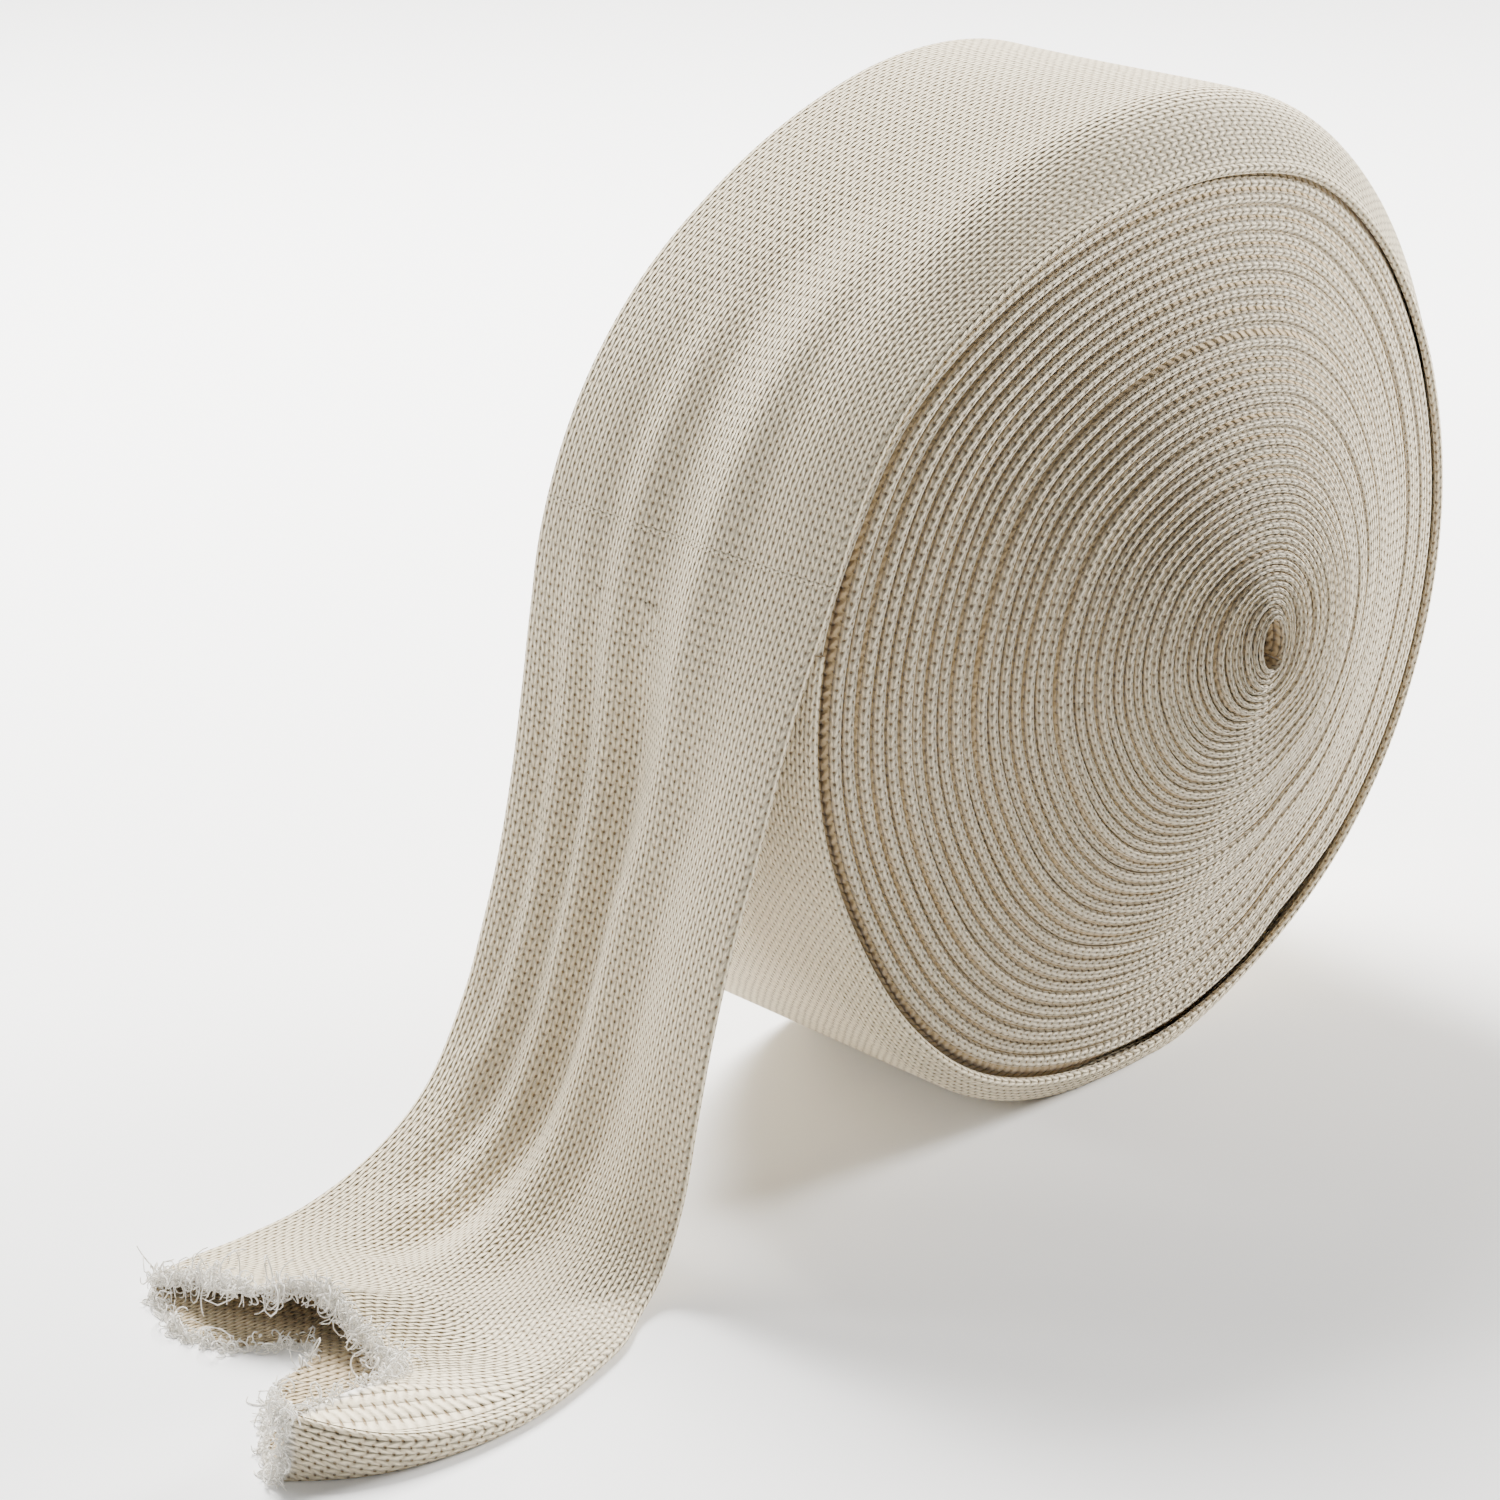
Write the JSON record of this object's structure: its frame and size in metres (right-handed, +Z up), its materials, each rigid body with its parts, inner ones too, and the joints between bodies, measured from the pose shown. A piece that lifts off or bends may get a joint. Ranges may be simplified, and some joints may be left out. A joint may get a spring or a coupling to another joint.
{
  "type": "roll of stockinette",
  "caption": "Roll of tubular cotton stockinette wound flat, standing on its rim, with its free end pulled down to the floor and its cut mouth slightly open.",
  "frame": {"origin": "on the floor, in the middle of the flat patch that the roll rests on", "axes": "+Z up; the roll's axis lies along Y and the face with the blunt cone looks towards -Y; the free end lies towards -X"},
  "size_m": [0.3671, 0.1134, 0.2261],
  "materials": {
    "cotton": "matt unbleached cotton jersey"
  },
  "bodies": {
    "root": {"windings": "cotton", "outer_turn": "cotton", "free_end": "cotton"}
  },
  "joints": []
}
